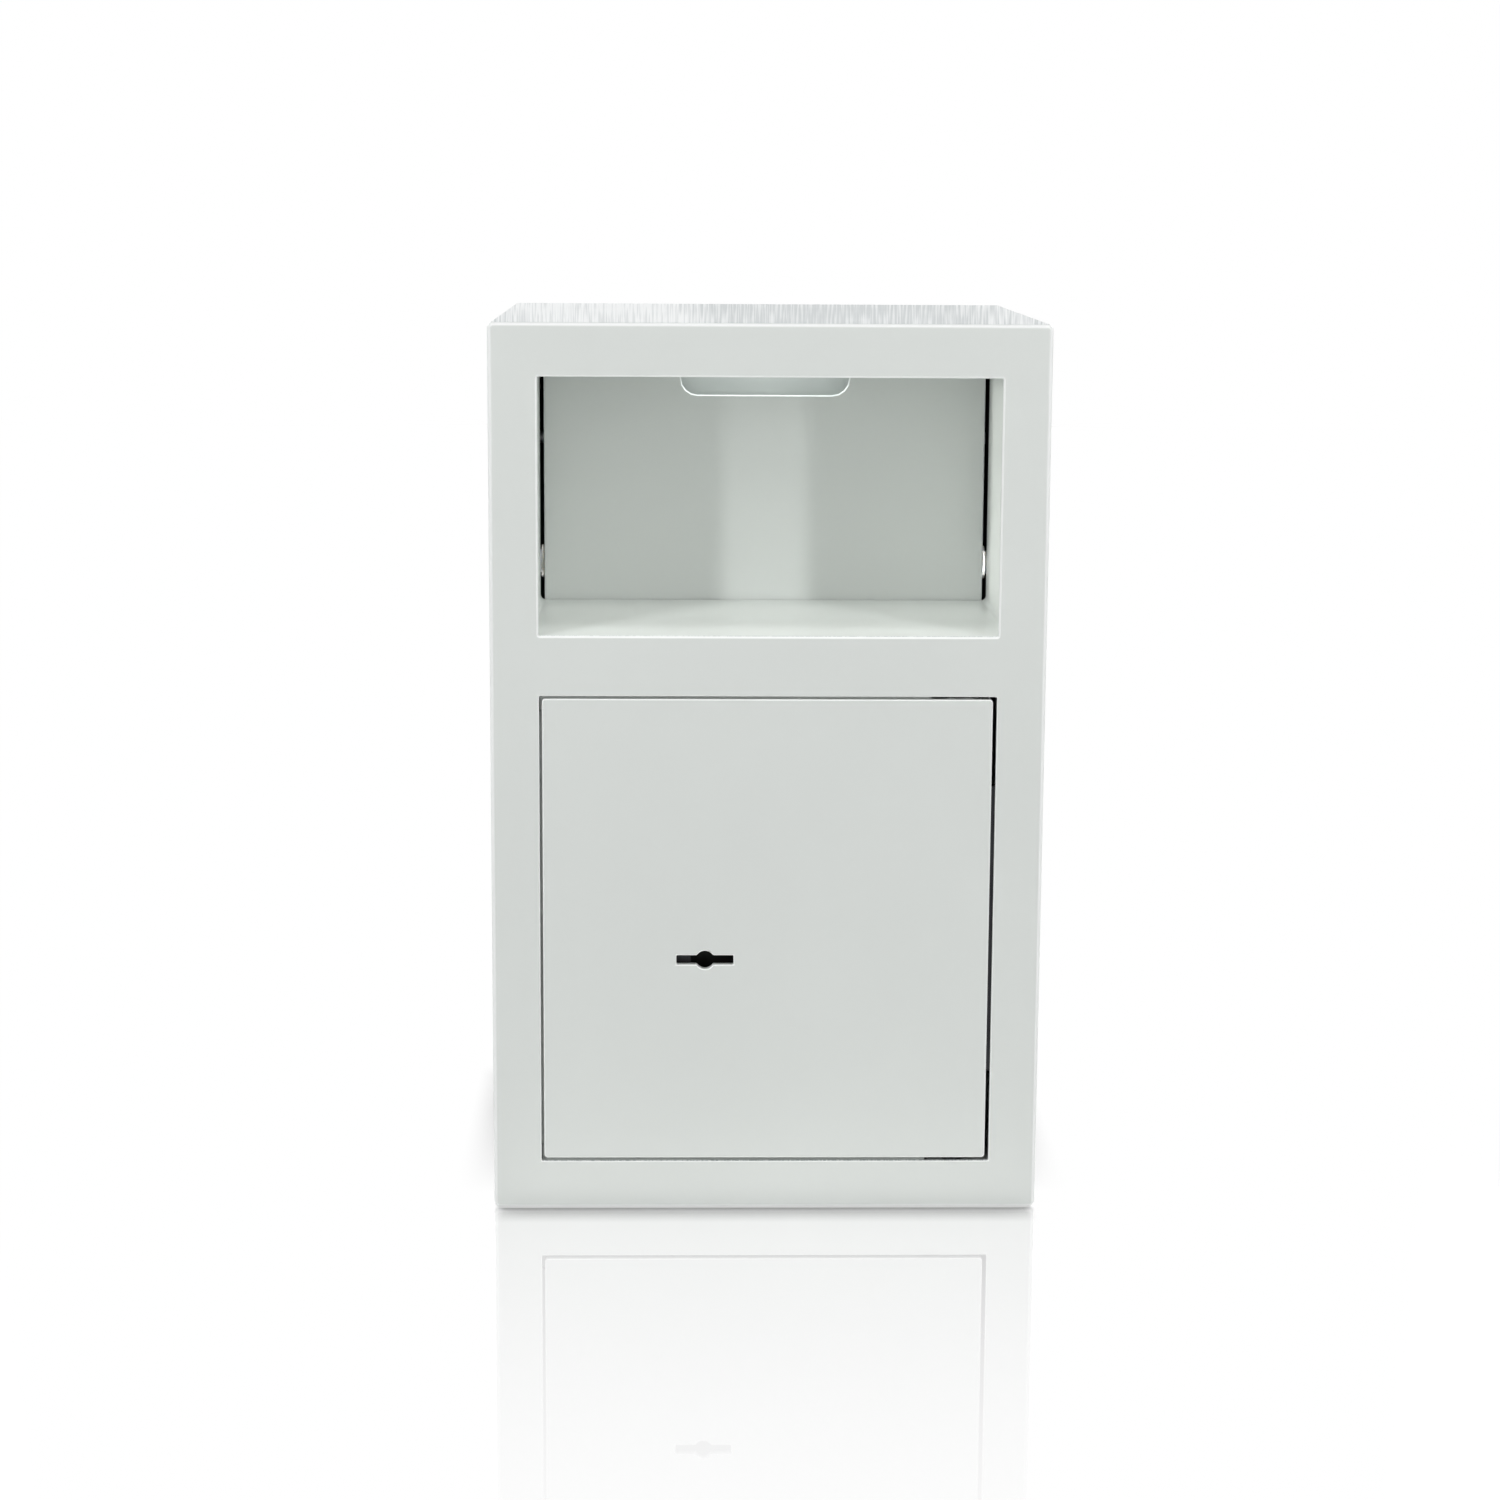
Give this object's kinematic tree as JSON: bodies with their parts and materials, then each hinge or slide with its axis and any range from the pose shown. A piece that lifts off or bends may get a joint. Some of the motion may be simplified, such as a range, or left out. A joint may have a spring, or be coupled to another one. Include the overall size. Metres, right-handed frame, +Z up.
{
  "type": "deposit safe",
  "caption": "Free-standing steel deposit safe with a recessed tilting hopper above a flush key-locked door with sliding bolts.",
  "frame": {"origin": "centre of the base, at floor level", "axes": "+X to the right seen from the front, +Y to the back, +Z up; the front face looks along -Y"},
  "size_m": [0.31, 0.29, 0.503],
  "materials": {
    "body_paint": "satin light grey paint, very lightly textured",
    "inner_paint": "dark primer on the hidden plates",
    "zinc_plate": "bright zinc plated",
    "bare_steel": "machined, lightly oiled",
    "brass": "turned and milled",
    "white_nylon": "turned, slightly translucent",
    "black_plastic": "moulded"
  },
  "bodies": {
    "body": {"body_shell": "body_paint", "back_plate": "body_paint", "recess_tray": "body_paint", "hopper_ceiling": "body_paint", "rear_shield": "inner_paint", "hopper_side_right": "inner_paint", "hopper_side_left": "inner_paint", "pivot_stud_right": "zinc_plate", "pivot_stud_left": "zinc_plate", "pivot_washer_right": "white_nylon", "pivot_washer_left": "white_nylon", "pivot_nut_right": "zinc_plate", "pivot_nut_left": "zinc_plate", "stop_stud_right": "zinc_plate", "stop_stud_left": "zinc_plate", "door_stop_left": "body_paint", "door_stop_top": "body_paint", "door_stop_bottom": "body_paint", "hinge_bracket_upper": "body_paint", "hinge_bracket_lower": "body_paint", "hinge_washer_upper": "brass", "hinge_washer_lower": "brass", "base_plug_1": "black_plastic", "base_plug_2": "black_plastic", "base_plug_3": "black_plastic", "base_plug_4": "black_plastic", "back_plug_1": "black_plastic", "back_plug_2": "black_plastic"},
    "hopper": {"hopper_panel": "body_paint", "grip_cup": "body_paint", "hopper_baffle": "body_paint", "hopper_cheek_right": "body_paint", "hopper_cheek_left": "body_paint"},
    "door": {"door_plate": "body_paint", "hinge_knuckle_upper": "body_paint", "hinge_knuckle_lower": "body_paint", "hinge_pin_upper": "bare_steel", "hinge_pin_lower": "bare_steel", "hinge_dog": "bare_steel", "bolt_guide": "body_paint", "guide_stud_lower": "zinc_plate", "guide_stud_upper": "zinc_plate", "guide_nut_lower": "zinc_plate", "guide_nut_upper": "zinc_plate", "lock_case": "zinc_plate", "lock_cover": "zinc_plate", "lock_screw_1": "zinc_plate", "lock_screw_2": "zinc_plate", "lock_screw_3": "zinc_plate", "lock_screw_4": "zinc_plate"},
    "boltwork": {"bolt_bar": "zinc_plate", "locking_bolt_lower": "bare_steel", "locking_bolt_upper": "bare_steel", "bolt_nut_lower": "zinc_plate", "bolt_nut_upper": "zinc_plate", "lock_tongue": "bare_steel", "tongue_screw": "zinc_plate"}
  },
  "joints": [
    {"name": "hopper_tilt", "type": "hinge", "parent": "body", "child": "hopper", "pos_m": [0, 0.0275, 0.3523], "axis": [1, 0, 0], "range_deg": [0, 75]},
    {"name": "door_hinge", "type": "hinge", "parent": "body", "child": "door", "pos_m": [0.1075, -0.135, 0.16], "axis": [0, 0, 1], "range_deg": [0, 110]},
    {"name": "bolt_throw", "type": "slide", "parent": "door", "child": "boltwork", "axis": [-1, 0, 0], "range_m": [0, 0.022]}
  ]
}
